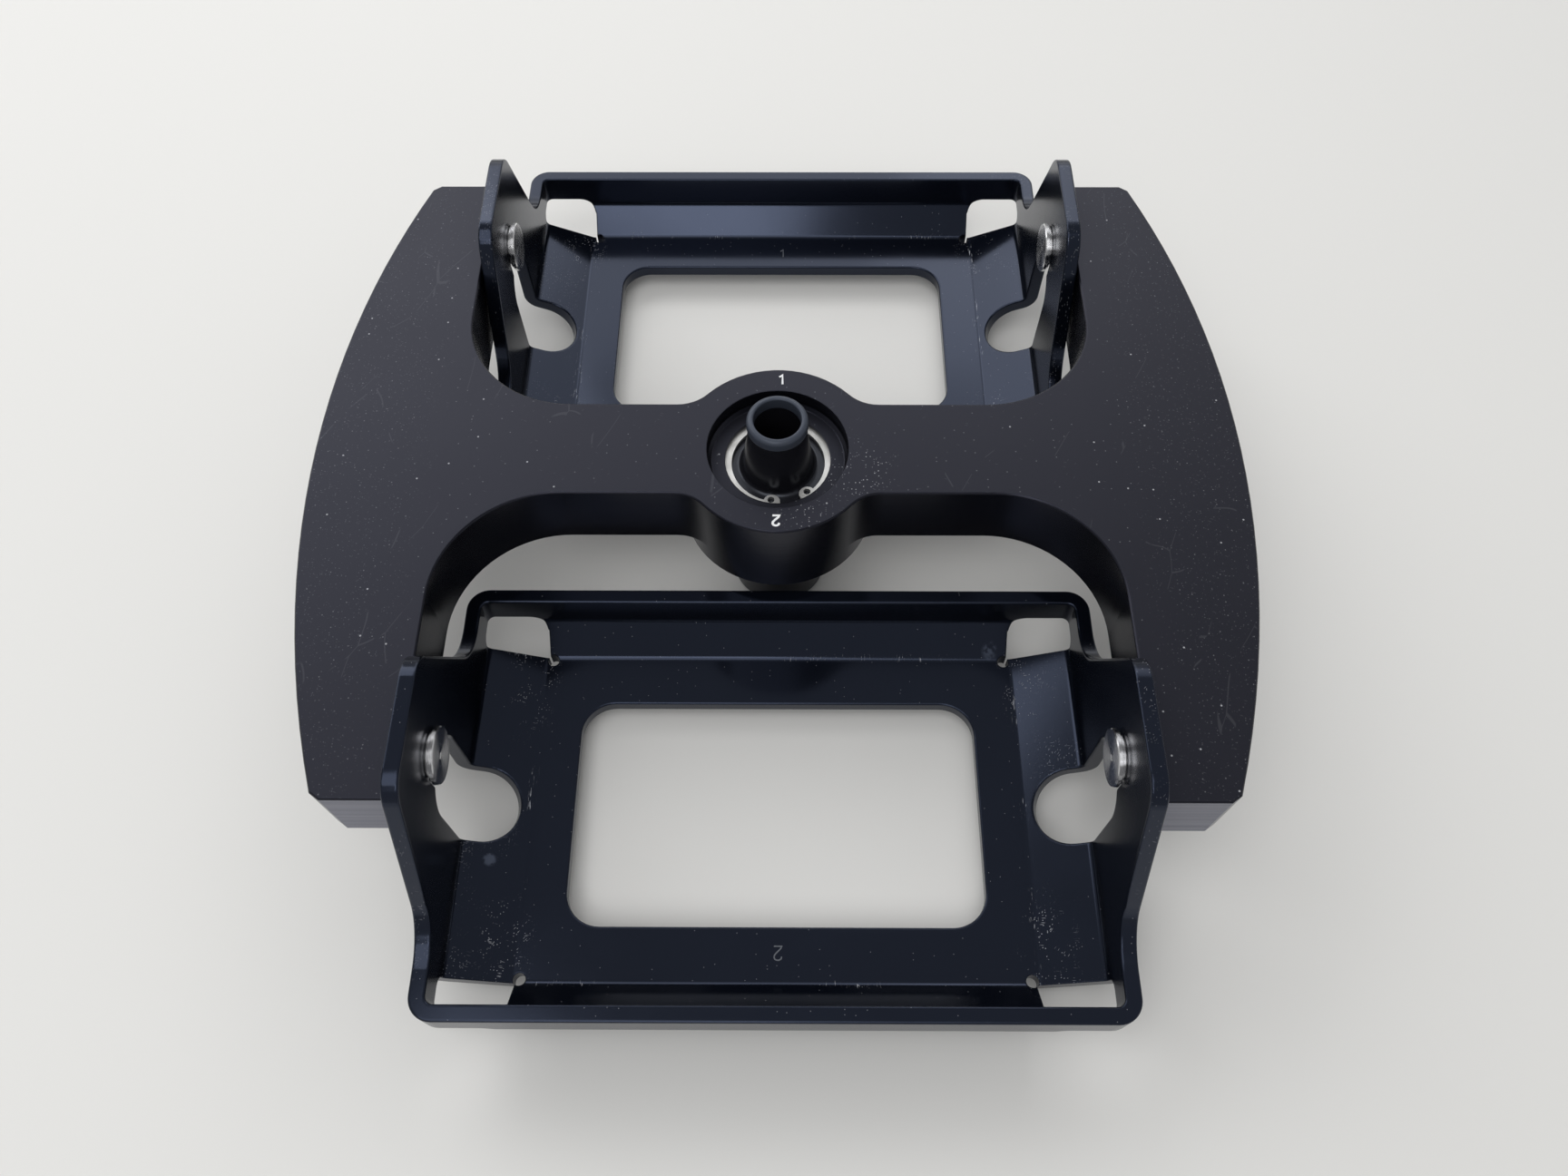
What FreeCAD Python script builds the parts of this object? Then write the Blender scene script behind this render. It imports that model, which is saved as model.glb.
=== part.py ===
import FreeCAD, Part
import math
import os
import Sketcher

# Swing-out rotor for a laboratory centrifuge: a black anodised yoke with a hub, four trunnion pins and
# two folded carriers that each hold one microplate and swing outwards as the rotor turns.
# Frame: origin in the middle of the hub's lower face, +Z up the shaft axis, X along the trunnion pins,
# carrier 1 on the +Y side and carrier 2 on the -Y side. Millimetres and degrees.

PARTS_FOLDER = "parts"

# Driving sizes. Each one is set once here and goes into the sheet as a plain number.
SIZES = {
    # yoke
    "top_height": 60,            # hub's lower face to the yoke's top face
    "yoke_thick": 21,
    "yoke_depth": 192,           # along Y
    "yoke_width": 242,           # along X, across the crowns of the two wing arcs
    "wing_arc": 272.5,
    "wing_corner": 1.8,
    "edge_break": 0.4,
    "pocket_width": 171,         # between the two inner wing walls
    "pocket_corner": 30,
    "bridge_width": 28.6,
    "boss_radius": 26,
    "boss_fillet": 11,
    "boss_foot": 6.5,            # how far the boss reaches below the yoke
    # stepped hub recess, from the top down
    "recess_radius": 18.6,
    "recess_depth": 5.2,
    "recess_round": 1,
    "sleeve_bore": 14,
    "ring_cover": 1,             # wall between the ledge and the ring's groove
    "ring_thick": 1.2,
    "ring_slack": 0.1,           # axial and radial play of the ring in its groove
    "groove_deep": 0.7,
    # drive hub
    "hub_radius": 13.5,
    "hub_edge": 0.8,
    "shaft_radius": 8,
    "shaft_mouth": 0.5,
    "skirt_play": 0.5,
    # clamping sleeve
    "flange_play": 0.2,
    "flange_thick": 5.1,
    "flange_side_play": 0.3,
    "sleeve_inside": 6.1,
    "skirt_radius": 8,
    "skirt_drop": 12.2,          # below the flange
    "skirt_gap": 1,              # between the skirt's end and the shaft bore's shoulder
    "flare_radius": 9.6,
    "flare_round": 1.5,
    "neck_radius": 7.5,
    "lip_radius": 7.9,
    "lip_tall": 3.4,
    "lip_round": 1.2,
    "mouth_round": 0.5,
    "sleeve_rise": 12.3,         # lip above the yoke's top face
    "neck_start": 8,             # end of the taper above the yoke's top face
    # retaining ring
    "ring_inside": 12.4,
    "ring_shift": 0.35,
    "ring_gap": 25,              # opening between the ring's ends, degrees
    "ring_turn": -74.7,          # where the opening points, degrees from +X
    "lug_circle": 12.9,          # where the lugs' centres lie
    "lug_angle": 22,             # each lug from the middle of the opening, degrees
    "lug_radius": 2.2,
    "hole_circle": 12.3,         # where the plier holes' centres lie
    "hole_angle": 23.4,
    "hole_radius": 0.9,
    # trunnion pins
    "pin_spacing": 163,          # along Y, between the two swing axes
    "pin_radius": 5.5,
    "shank_radius": 5,
    "shank_length": 16,
    "shank_edge": 0.5,
    "collar_play": 0.3,
    "collar_radius": 6.3,
    "collar_thick": 0.4,
    "neck_groove": 5.7,
    "groove_wide": 0.3,
    "head_radius": 7,
    "head_thick": 1.1,
    "head_edge": 0.25,
    "head_dish": 0.35,
    "dish_radius": 5.6,
    # carriers, measured from the swing axis and from the carrier's middle
    "sheet": 4,
    "ear_play": 0.5,             # between an ear and the wing wall
    "bend": 2,                   # inner radius of each fold
    "floor_drop": 40,
    "floor_half_x": 65.5,
    "floor_half_y": 44.5,
    "shoulder_angle": 22.5,
    "panel_angle": 45,
    "tray_half_y": 52.5,
    "rim_drop": 21.5,
    "strip_tall": 8.6,           # rim strip that runs round the corners
    "panel_half_x": 64.5,
    "shoulder_half_y": 44.5,
    "opening_round": 3,          # corner openings, beside the shoulder
    "panel_round": 5.5,          # the same openings, beside the sloping panel
    "ear_top": 21,
    "ear_top_half": 16,
    "ear_foot_half": 35.8,
    "ear_top_round": 8,
    "ear_foot_round": 14,
    "window_x": 107.6,
    "window_y": 61,
    "window_round": 9,
    "relief_radius": 1.6,
    "relief_shift": 0.9,         # each relief hole's centre from the corner, along X and Y
    "entry_radius": 10,          # wide end of the keyhole
    "entry_drop": 14.5,
    "entry_reach": 4.3,          # centre of the round end along the shoulder, from the fold
    "slot_play": 0.1,            # round the pin
    "sheet_round": 0.5,          # deburred edges
}

# Sizes that follow from the driving ones, kept in the same sheet as formulas.
WORKED_OUT = {
    "yoke_under": "top_height - yoke_thick",
    "boss_under": "yoke_under - boss_foot",
    "yoke_half_y": "yoke_depth / 2",
    "arc_centre": "wing_arc - yoke_width / 2",
    "pocket_half_x": "pocket_width / 2",
    "bridge_half_y": "bridge_width / 2",
    "pocket_end": "yoke_half_y + 5",
    "ledge_height": "top_height - recess_depth",
    "groove_top": "ledge_height - ring_cover",
    "groove_under": "groove_top - ring_thick - 2 * ring_slack",
    "groove_radius": "sleeve_bore + groove_deep",
    "ring_height": "groove_under + ring_slack",
    "ring_radius": "groove_radius - ring_slack",
    "beyond_ring": "ring_radius + 5",
    "gap_tip_x": "beyond_ring * cos(ring_gap / 2)",
    "gap_tip_y": "beyond_ring * sin(ring_gap / 2)",
    "lug_x": "lug_circle * cos(lug_angle)",
    "lug_y": "lug_circle * sin(lug_angle)",
    "hole_x": "hole_circle * cos(hole_angle)",
    "hole_y": "hole_circle * sin(hole_angle)",
    "recess_floor": "ledge_height + recess_round",
    "recess_foot": "recess_radius - recess_round",
    "above_top": "top_height + 5",
    "below_boss": "boss_under - 5",
    "skirt_bore": "skirt_radius + skirt_play",
    "mouth_radius": "shaft_radius + shaft_mouth",
    "hub_end": "hub_radius - hub_edge",
    "hub_shoulder": "hub_height - hub_edge",
    "flange_top": "ring_height - flange_play",
    "flange_under": "flange_top - flange_thick",
    "hub_height": "flange_under - flange_play",
    "flange_radius": "sleeve_bore - flange_side_play",
    "skirt_foot": "flange_under - skirt_drop",
    "shaft_depth": "skirt_foot - skirt_gap",
    "neck_height": "top_height + neck_start",
    "lip_top": "top_height + sleeve_rise",
    "lip_under": "lip_top - lip_tall",
    "pin_half_y": "pin_spacing / 2",
    "pin_height": "top_height - yoke_thick / 2",
    "shank_tip": "shank_radius - shank_edge",
    "shank_taper": "shank_length - shank_edge",
    "collar_start": "ear_play + sheet + collar_play",
    "collar_end": "collar_start + collar_thick",
    "head_start": "collar_end + groove_wide",
    "head_end": "head_start + head_thick",
    "head_shoulder": "head_end - head_edge",
    "head_rim": "head_radius - head_edge",
    "dish_bottom": "head_end - head_dish",
    "ear_outer_x": "pocket_half_x - ear_play",
    "ear_inner_x": "ear_outer_x - sheet",
    "bend_outer": "bend + sheet",
    "floor_under": "floor_drop + sheet",
    "tray_outer_y": "tray_half_y + sheet",
    "panel_rise": "(tray_half_y - floor_half_y) * tan(panel_angle)",
    "crease_drop": "floor_drop - panel_rise",
    "crease_under": "crease_drop + sheet * tan(45 - panel_angle / 2)",
    "floor_outer_y": "floor_half_y + sheet * tan(panel_angle / 2)",
    "shoulder_rise": "(ear_inner_x - floor_half_x) * tan(shoulder_angle)",
    "shoulder_drop": "floor_drop - shoulder_rise",
    "shoulder_under": "shoulder_drop + sheet * tan(45 - shoulder_angle / 2)",
    "floor_outer_x": "floor_half_x + sheet * tan(shoulder_angle / 2)",
    "strip_drop": "rim_drop + strip_tall",
    "strip_half_x": "ear_outer_x - bend_outer",
    "strip_half_y": "tray_outer_y - bend_outer",
    "beyond_x": "ear_outer_x + 5",
    "beyond_y": "tray_outer_y + 5",
    "above_ear": "ear_top + 5",
    "below_floor": "floor_under + 5",
    "window_half_x": "window_x / 2",
    "window_half_y": "window_y / 2",
    "relief_x": "panel_half_x - relief_shift",
    "relief_y": "shoulder_half_y - relief_shift",
    "slot_half": "pin_radius + slot_play",
    "entry_overlap": "1.5 * sheet",
}

doc = FreeCAD.newDocument("swing_out_rotor")
dims = doc.addObject("Spreadsheet::Sheet", "dims")


def fill_sheet():
    """driving sizes as numbers, then the sizes that follow from them as formulas"""
    rows = [(name, str(number)) for name, number in SIZES.items()]
    rows += [(name, "=" + formula) for name, formula in WORKED_OUT.items()]
    for row, (name, content) in enumerate(rows, start=1):
        dims.set(f"A{row}", name)
        dims.setAlias(f"B{row}", name)
    for row, (name, content) in enumerate(rows, start=1):
        dims.set(f"B{row}", content)
    doc.recompute()


def number(name):
    """a size from the sheet, negative where its name has a minus sign"""
    if name == "0":
        return 0.0
    return -dims.get(name[1:]) if name.startswith("-") else dims.get(name)


def bound(name):
    """the same size as an expression"""
    return f"-dims.{name[1:]}" if name.startswith("-") else f"dims.{name}"


def vector(x, y, z=0.0):
    return FreeCAD.Vector(x, y, z)


# Sketch helpers

def new_body(name):
    body = doc.addObject("PartDesign::Body", name)
    body.Label = name
    return body


def new_sketch(body, plane, name, level=None):
    """sketch on one of the body's origin planes, moved along the plane's normal by a sheet size"""
    sketch = body.newObject("Sketcher::SketchObject", name)
    support = next(item for item in body.Origin.OriginFeatures if item.Role == plane)
    sketch.AttachmentSupport = [(support, "")]
    sketch.MapMode = "FlatFace"
    if level:
        sketch.setExpression("AttachmentOffset.Base.z", bound(level))
    return sketch


def hold(sketch, kind, geometry, point, size):
    """distance from the sketch's origin along one axis, tied to a sheet size"""
    if size == "0":
        axis = -2 if kind == "DistanceX" else -1
        sketch.addConstraint(Sketcher.Constraint("PointOnObject", geometry, point, axis))
        return
    index = sketch.addConstraint(Sketcher.Constraint(kind, -1, 1, geometry, point, number(size)))
    sketch.setExpression(f"Constraints[{index}]", bound(size))


def hold_point(sketch, geometry, point, x, y):
    hold(sketch, "DistanceX", geometry, point, x)
    hold(sketch, "DistanceY", geometry, point, y)


def hold_radius(sketch, geometry, size):
    index = sketch.addConstraint(Sketcher.Constraint("Radius", geometry, number(size)))
    sketch.setExpression(f"Constraints[{index}]", bound(size))


def join(sketch, kind, first, first_point, second, second_point):
    sketch.addConstraint(Sketcher.Constraint(kind, first, first_point, second, second_point))


def add_circle(sketch, x, y, radius):
    centre = vector(number(x), number(y))
    circle = sketch.addGeometry(Part.Circle(centre, vector(0, 0, 1), number(radius)), False)
    hold_point(sketch, circle, 3, x, y)
    hold_radius(sketch, circle, radius)
    return circle


def end_at(sketch, arc, place):
    """which end of the arc lies at the place: 1 or 2"""
    return 1 if (sketch.getPoint(arc, 1) - place).Length < (sketch.getPoint(arc, 2) - place).Length else 2


def rounded_corner(before, corner, after, radius):
    """where a corner's round starts, its middle point and where it ends"""
    back = (before - corner).normalize()
    ahead = (after - corner).normalize()
    half_angle = back.getAngle(ahead) / 2
    reach = radius / math.tan(half_angle)
    inwards = (back + ahead).normalize()
    centre = corner + inwards * (radius / math.sin(half_angle))
    return corner + back * reach, centre - inwards * radius, corner + ahead * reach


def add_outline(sketch, corners):
    """closed outline of straight sides: each corner is (x, y) or (x, y, radius), all names of sheet sizes"""
    places = [vector(number(corner[0]), number(corner[1])) for corner in corners]
    rounds = []
    for index, corner in enumerate(corners):
        before = places[index - 1]
        after = places[(index + 1) % len(places)]
        if len(corner) == 3:
            rounds.append(rounded_corner(before, places[index], after, number(corner[2])))
        else:
            rounds.append((places[index], None, places[index]))
    sides = []
    for index in range(len(corners)):
        start = rounds[index][2]
        end = rounds[(index + 1) % len(corners)][0]
        sides.append(sketch.addGeometry(Part.LineSegment(start, end), False))
    for index, corner in enumerate(corners):
        side_in, side_out = sides[index - 1], sides[index]
        start, middle, end = rounds[index]
        if middle is None:
            join(sketch, "Coincident", side_in, 2, side_out, 1)
            hold_point(sketch, side_out, 1, corner[0], corner[1])
            continue
        arc = sketch.addGeometry(Part.Arc(start, middle, end), False)
        tip = sketch.addGeometry(Part.Point(places[index]), True)
        hold_point(sketch, tip, 1, corner[0], corner[1])
        sketch.addConstraint(Sketcher.Constraint("PointOnObject", tip, 1, side_in))
        sketch.addConstraint(Sketcher.Constraint("PointOnObject", tip, 1, side_out))
        join(sketch, "Tangent", side_in, 2, arc, end_at(sketch, arc, start))
        join(sketch, "Tangent", arc, end_at(sketch, arc, end), side_out, 1)
        hold_radius(sketch, arc, corner[2])


def add_rectangle(sketch, half_x, half_y, corner):
    """rectangle with rounded corners about the sketch's origin"""
    add_outline(sketch, [(half_x, half_y, corner), (f"-{half_x}", half_y, corner),
                         (f"-{half_x}", f"-{half_y}", corner), (half_x, f"-{half_y}", corner)])


def add_round_slot(sketch, half_width, foot, centre):
    """slot along the sketch's Y: flat at its foot, a half circle about the centre at its other end"""
    half, low, high = number(half_width), number(foot), number(centre)
    base = sketch.addGeometry(Part.LineSegment(vector(-half, low), vector(half, low)), False)
    right = sketch.addGeometry(Part.LineSegment(vector(half, low), vector(half, high)), False)
    left = sketch.addGeometry(Part.LineSegment(vector(-half, high), vector(-half, low)), False)
    dome = Part.Arc(vector(half, high), vector(0, high + half), vector(-half, high))
    dome = sketch.addGeometry(dome, False)
    join(sketch, "Coincident", base, 2, right, 1)
    join(sketch, "Coincident", left, 2, base, 1)
    join(sketch, "Tangent", right, 2, dome, 1)
    join(sketch, "Tangent", dome, 2, left, 1)
    sketch.addConstraint(Sketcher.Constraint("Horizontal", base))
    sketch.addConstraint(Sketcher.Constraint("Vertical", right))
    sketch.addConstraint(Sketcher.Constraint("Vertical", left))
    hold(sketch, "DistanceY", base, 1, foot)
    hold_point(sketch, dome, 3, "0", centre)
    hold_radius(sketch, dome, half_width)


# Feature helpers

def new_feature(body, kind, name, profile=None):
    feature = body.newObject(f"PartDesign::{kind}", name)
    if profile:
        feature.Profile = profile
    return feature


def pad(body, name, profile, length, midplane=False):
    """length is an expression"""
    feature = new_feature(body, "Pad", name, profile)
    feature.Midplane = midplane
    feature.setExpression("Length", length)
    return feature


def cut(body, name, profile, length=None, midplane=False, reverse=False):
    """pocket of a given length expression, or right through"""
    feature = new_feature(body, "Pocket", name, profile)
    feature.Midplane = midplane
    feature.Reversed = reverse
    if length:
        feature.setExpression("Length", length)
    else:
        feature.Type = "ThroughAll"
    return feature


def turn(body, name, profile, axis, kind="Revolution"):
    """full turn of the profile about one of its sketch's axes"""
    feature = new_feature(body, kind, name, profile)
    feature.ReferenceAxis = (profile, [axis])
    feature.Angle = 360
    return feature


def dress(body, kind, name, base, wanted, size_property, size):
    """fillet or chamfer on the edges of the base that are wanted"""
    doc.recompute()
    edges = [f"Edge{index}" for index, edge in enumerate(base.Shape.Edges, start=1) if wanted(edge)]
    feature = new_feature(body, kind, name)
    feature.Base = (base, edges)
    feature.setExpression(size_property, size)
    return feature


def mirror(body, name, originals, plane):
    """copies of the originals on the other side of one of the body's origin planes"""
    feature = new_feature(body, "Mirrored", name)
    support = next(item for item in body.Origin.OriginFeatures if item.Role == plane)
    feature.Originals = originals
    feature.MirrorPlane = (support, [""])
    body.Tip = feature
    return feature


def stands_at(edge, x, y):
    """an upright edge whose distances from the axes are x and y"""
    ends = [vertex.Point for vertex in edge.Vertexes]
    if len(ends) != 2 or abs(ends[0].z - ends[1].z) < 1:
        return False
    return all(abs(abs(end.x) - x) < 0.01 and abs(abs(end.y) - y) < 0.01 for end in ends)


def lies_at(edge, level):
    """an edge that lies in the level plane at this height"""
    box = edge.BoundBox
    return abs(box.ZMin - level) < 0.001 and abs(box.ZMax - level) < 0.001


def is_sharp(shape, edge):
    """true where the two faces beside an edge meet at an angle"""
    middle = edge.valueAt((edge.FirstParameter + edge.LastParameter) / 2)
    normals = []
    for face in shape.ancestorsOfType(edge, Part.Face):
        normals.append(face.normalAt(*face.Surface.parameter(middle)))
    return len(normals) == 2 and math.degrees(normals[0].getAngle(normals[1])) > 20


def place(body, x=None, y=None, z=None):
    """put a body where sheet expressions say"""
    for axis, expression in (("x", x), ("y", y), ("z", z)):
        if expression:
            body.setExpression(f"Placement.Base.{axis}", expression)


# Yoke

def wing_outline(body):
    """plan of the yoke: two crowned wing arcs and two straight ends"""
    sketch = new_sketch(body, "XY_Plane", "wing_plan", "yoke_under")
    half_y, radius, centre = number("yoke_half_y"), number("wing_arc"), number("arc_centre")
    tip_x = math.sqrt(radius ** 2 - half_y ** 2) - centre
    crown = number("yoke_width") / 2
    arcs = []
    for side in (1, -1):
        ends = vector(side * tip_x, -side * half_y), vector(side * tip_x, side * half_y)
        arcs.append(sketch.addGeometry(Part.Arc(ends[0], vector(side * crown, 0), ends[1]), False))
    for arc, centre_name in zip(arcs, ("-arc_centre", "arc_centre")):
        hold_point(sketch, arc, 3, centre_name, "0")
        hold_radius(sketch, arc, "wing_arc")
    back = sketch.addGeometry(Part.LineSegment(vector(tip_x, half_y), vector(-tip_x, half_y)), False)
    front = sketch.addGeometry(Part.LineSegment(vector(-tip_x, -half_y), vector(tip_x, -half_y)), False)
    join(sketch, "Coincident", arcs[0], 2, back, 1)
    join(sketch, "Coincident", back, 2, arcs[1], 1)
    join(sketch, "Coincident", arcs[1], 2, front, 1)
    join(sketch, "Coincident", front, 2, arcs[0], 1)
    for line, level in ((back, "yoke_half_y"), (front, "-yoke_half_y")):
        sketch.addConstraint(Sketcher.Constraint("Horizontal", line))
        hold(sketch, "DistanceY", line, 1, level)
    return sketch


def pocket_plan(body):
    """plan of the two open pockets that the carriers hang in"""
    sketch = new_sketch(body, "XY_Plane", "pocket_plan", "yoke_under")
    for near, far in (("bridge_half_y", "pocket_end"), ("-bridge_half_y", "-pocket_end")):
        add_outline(sketch, [("-pocket_half_x", near), ("pocket_half_x", near),
                             ("pocket_half_x", far), ("-pocket_half_x", far)])
    return sketch


def hub_bore_section(body):
    """half section of the stepped bore: recess, ledge, sleeve bore, ring groove and hub seat"""
    sketch = new_sketch(body, "XZ_Plane", "hub_bore_section")
    add_outline(sketch, [("0", "below_boss"), ("hub_radius", "below_boss"), ("hub_radius", "hub_height"),
                         ("sleeve_bore", "hub_height"), ("sleeve_bore", "groove_under"),
                         ("groove_radius", "groove_under"), ("groove_radius", "groove_top"),
                         ("sleeve_bore", "groove_top"), ("sleeve_bore", "ledge_height"),
                         ("recess_foot", "ledge_height"), ("recess_radius", "recess_floor"),
                         ("recess_radius", "above_top"), ("0", "above_top")])
    return sketch


def pin_seat_plan(body):
    """the holes in the inner wing wall that the pins are pressed into"""
    sketch = new_sketch(body, "YZ_Plane", "pin_seat_plan", "pocket_half_x")
    for y in ("pin_half_y", "-pin_half_y"):
        add_circle(sketch, y, "pin_height", "shank_radius")
    return sketch


def make_yoke():
    body = new_body("rotor_yoke")
    pad(body, "wings", wing_outline(body), "dims.yoke_thick")
    cut(body, "carrier_pockets", pocket_plan(body), midplane=True)
    boss_plan = new_sketch(body, "XY_Plane", "boss_plan", "yoke_under")
    add_circle(boss_plan, "0", "0", "boss_radius")
    boss = pad(body, "boss", boss_plan, "dims.yoke_thick")

    pocket_x, bridge_y = number("pocket_half_x"), number("bridge_half_y")
    boss_x = math.sqrt(number("boss_radius") ** 2 - bridge_y ** 2)
    tip_x = math.sqrt(number("wing_arc") ** 2 - number("yoke_half_y") ** 2) - number("arc_centre")
    blends = dress(body, "Fillet", "boss_blends", boss,
                   lambda edge: stands_at(edge, boss_x, bridge_y), "Radius", "dims.boss_fillet")
    corners = dress(body, "Fillet", "pocket_corners", blends,
                    lambda edge: stands_at(edge, pocket_x, bridge_y), "Radius", "dims.pocket_corner")
    tips = dress(body, "Chamfer", "wing_corners", corners,
                 lambda edge: stands_at(edge, tip_x, number("yoke_half_y")), "Size", "dims.wing_corner")
    faces = number("top_height"), number("yoke_under")
    dress(body, "Chamfer", "broken_edges", tips,
          lambda edge: any(lies_at(edge, face) for face in faces), "Size", "dims.edge_break")

    foot_plan = new_sketch(body, "XY_Plane", "boss_foot_plan", "boss_under")
    add_circle(foot_plan, "0", "0", "boss_radius")
    foot = pad(body, "boss_foot", foot_plan, "dims.boss_foot + dims.edge_break")
    dress(body, "Chamfer", "boss_foot_edge", foot,
          lambda edge: lies_at(edge, number("boss_under")), "Size", "dims.edge_break")

    turn(body, "hub_bore", hub_bore_section(body), "V_Axis", "Groove")
    seats = cut(body, "pin_seats", pin_seat_plan(body), "dims.shank_length", reverse=True)
    mirror(body, "pin_seats_left", [seats], "YZ_Plane")
    return body


# Hub pieces

def make_drive_hub():
    """turned sleeve that seats on the centrifuge's shaft"""
    body = new_body("drive_hub")
    sketch = new_sketch(body, "XZ_Plane", "drive_hub_section")
    add_outline(sketch, [("mouth_radius", "0"), ("hub_end", "0"), ("hub_radius", "hub_edge"),
                         ("hub_radius", "hub_shoulder"), ("hub_end", "hub_height"),
                         ("skirt_bore", "hub_height"), ("skirt_bore", "shaft_depth"),
                         ("shaft_radius", "shaft_depth"), ("shaft_radius", "shaft_mouth")])
    turn(body, "drive_hub_turned", sketch, "V_Axis")
    return body


def make_clamping_sleeve():
    """captive sleeve: rolled lip, tapered tube, flange under the ring and a skirt inside the drive hub"""
    body = new_body("clamping_sleeve")
    sketch = new_sketch(body, "XZ_Plane", "sleeve_section")
    add_outline(sketch, [("sleeve_inside", "skirt_foot"), ("skirt_radius", "skirt_foot"),
                         ("skirt_radius", "flange_under"), ("flange_radius", "flange_under"),
                         ("flange_radius", "flange_top"), ("flare_radius", "flange_top", "flare_round"),
                         ("neck_radius", "neck_height"), ("neck_radius", "lip_under"),
                         ("lip_radius", "lip_under", "mouth_round"), ("lip_radius", "lip_top", "lip_round"),
                         ("sleeve_inside", "lip_top", "mouth_round")])
    turn(body, "sleeve_turned", sketch, "V_Axis")
    return body


def make_retaining_ring():
    """open ring with two lugs for pliers; its opening points along its own +X before it is turned"""
    body = new_body("retaining_ring")
    blank_plan = new_sketch(body, "XY_Plane", "ring_plan")
    add_circle(blank_plan, "0", "0", "ring_radius")
    add_circle(blank_plan, "ring_shift", "0", "ring_inside")
    pad(body, "ring_blank", blank_plan, "dims.ring_thick")

    for index, y in enumerate(("lug_y", "-lug_y"), start=1):
        lug_plan = new_sketch(body, "XY_Plane", f"lug_plan_{index}")
        add_circle(lug_plan, "lug_x", y, "lug_radius")
        pad(body, f"lug_{index}", lug_plan, "dims.ring_thick")
    rim_plan = new_sketch(body, "XY_Plane", "ring_rim_plan")
    add_circle(rim_plan, "0", "0", "beyond_ring")
    add_circle(rim_plan, "0", "0", "ring_radius")
    cut(body, "ring_rim", rim_plan, midplane=True)

    gap_plan = new_sketch(body, "XY_Plane", "ring_gap_plan")
    add_outline(gap_plan, [("0", "0"), ("gap_tip_x", "-gap_tip_y"), ("gap_tip_x", "gap_tip_y")])
    for y in ("hole_y", "-hole_y"):
        add_circle(gap_plan, "hole_x", y, "hole_radius")
    cut(body, "ring_gap_and_holes", gap_plan, midplane=True)
    body.Placement.Rotation = FreeCAD.Rotation(vector(0, 0, 1), number("ring_turn"))
    place(body, z="dims.ring_height")
    return body


# Trunnion pins

def make_pin(name, side, end):
    """turned pin pressed into a wing; side is -1 or 1 along X, end is 1 at +Y and -1 at -Y"""
    body = new_body(name)
    sketch = new_sketch(body, "XY_Plane", f"{name}_section")
    add_outline(sketch, [("-shank_length", "0"), ("-shank_length", "shank_tip"),
                         ("-shank_taper", "shank_radius"), ("0", "shank_radius"),
                         ("0", "pin_radius"), ("collar_start", "pin_radius"),
                         ("collar_start", "collar_radius"), ("collar_end", "collar_radius"),
                         ("collar_end", "neck_groove"), ("head_start", "neck_groove"),
                         ("head_start", "head_radius"), ("head_shoulder", "head_radius"),
                         ("head_end", "head_rim"), ("head_end", "dish_radius"), ("dish_bottom", "0")])
    turn(body, f"{name}_turned", sketch, "H_Axis")
    if side > 0:
        body.Placement.Rotation = FreeCAD.Rotation(vector(0, 0, 1), 180)
    place(body, f"{side} * dims.pocket_half_x", f"{end} * dims.pin_half_y", "dims.pin_height")
    return body


# Carriers

def side_fold_profile(body):
    """cross-section of the floor, the two sloping panels and the two long walls"""
    sketch = new_sketch(body, "YZ_Plane", f"{body.Name}_side_fold")
    inner = [("tray_half_y", "-rim_drop"), ("tray_half_y", "-crease_drop", "bend"),
             ("floor_half_y", "-floor_drop", "bend"), ("-floor_half_y", "-floor_drop", "bend"),
             ("-tray_half_y", "-crease_drop", "bend"), ("-tray_half_y", "-rim_drop")]
    outer = [("-tray_outer_y", "-rim_drop"), ("-tray_outer_y", "-crease_under", "bend_outer"),
             ("-floor_outer_y", "-floor_under", "bend_outer"),
             ("floor_outer_y", "-floor_under", "bend_outer"),
             ("tray_outer_y", "-crease_under", "bend_outer"), ("tray_outer_y", "-rim_drop")]
    add_outline(sketch, inner + outer)
    return sketch


def end_fold_profile(body):
    """cross-section of one end: the floor's edge, the shoulder and the ear"""
    sketch = new_sketch(body, "XZ_Plane", f"{body.Name}_end_fold")
    add_outline(sketch, [("panel_half_x", "-floor_drop"), ("floor_half_x", "-floor_drop", "bend"),
                         ("ear_inner_x", "-shoulder_drop", "bend"), ("ear_inner_x", "above_ear"),
                         ("ear_outer_x", "above_ear"), ("ear_outer_x", "-shoulder_under", "bend_outer"),
                         ("floor_outer_x", "-floor_under", "bend_outer"), ("panel_half_x", "-floor_under")])
    return sketch


def side_end_cut(body):
    """what is cut off the ends of the sloping panels, below the rim strip"""
    sketch = new_sketch(body, "XZ_Plane", f"{body.Name}_side_ends")
    for sign in ("", "-"):
        add_outline(sketch, [(f"{sign}panel_half_x", "-below_floor"),
                             (f"{sign}panel_half_x", "-strip_drop", "panel_round"),
                             (f"{sign}beyond_x", "-strip_drop"), (f"{sign}beyond_x", "-below_floor")])
    return sketch


def rim_strip_plan(body):
    """closed strip that joins walls and ears round the four corners"""
    sketch = new_sketch(body, "XY_Plane", f"{body.Name}_rim_strip", "-strip_drop")
    add_rectangle(sketch, "ear_outer_x", "tray_outer_y", "bend_outer")
    add_rectangle(sketch, "ear_inner_x", "tray_half_y", "bend")
    return sketch


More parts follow.
